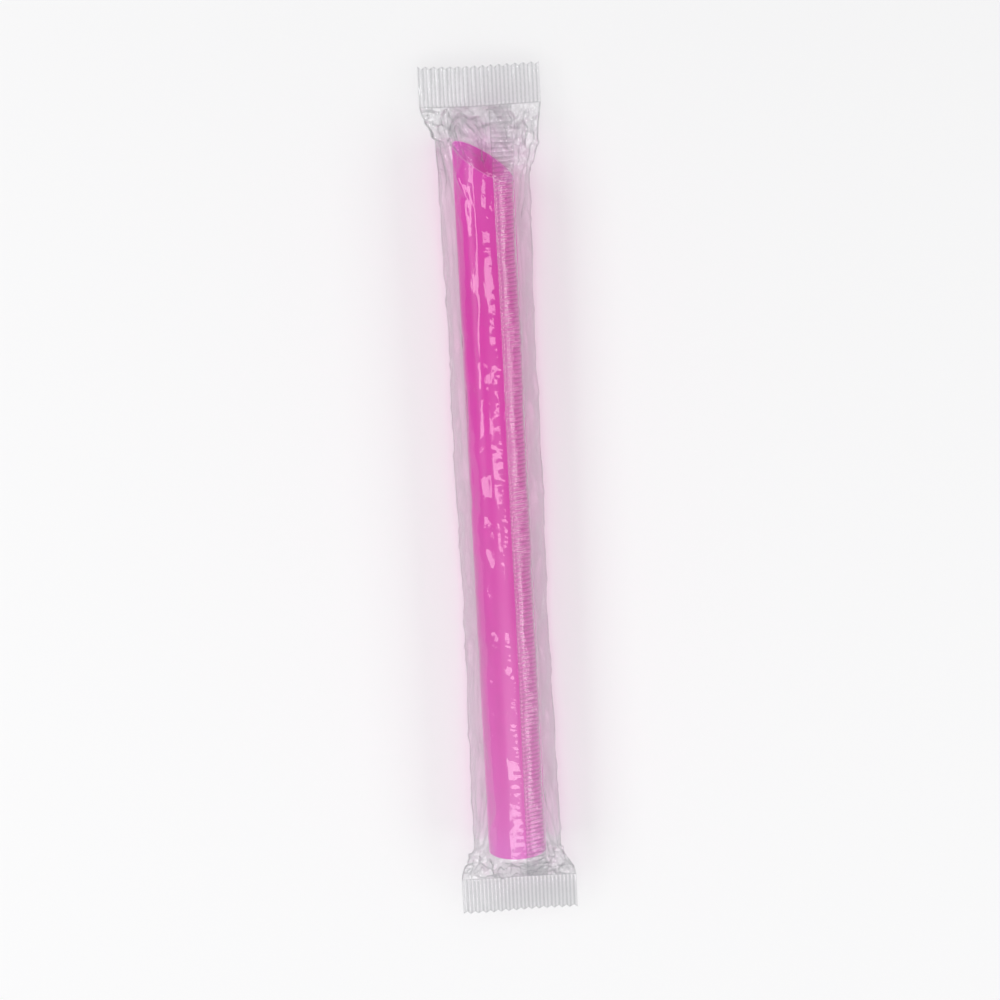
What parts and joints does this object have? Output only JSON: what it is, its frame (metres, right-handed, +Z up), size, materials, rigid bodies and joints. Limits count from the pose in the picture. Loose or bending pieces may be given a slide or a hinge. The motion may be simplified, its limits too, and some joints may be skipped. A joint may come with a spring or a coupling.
{
  "type": "wrapped drinking straw",
  "caption": "Wide pink drinking straw with a slanted tip, sealed by itself in a clear crimped film wrapper and lying on its side.",
  "frame": {"origin": "on the resting plane, under the middle of the wrapper", "axes": "+X along the straw to its slanted tip, +Z up from the table, +Y towards the side that the point of the tip is on"},
  "size_m": [0.18, 0.024, 0.0126],
  "materials": {
    "straw_plastic": "translucent pink polypropylene with a soft satin surface",
    "clear_film": "crisp clear polypropylene film, glossy"
  },
  "bodies": {
    "root": {"straw": "straw_plastic", "film_wrapper": "clear_film"}
  },
  "joints": []
}
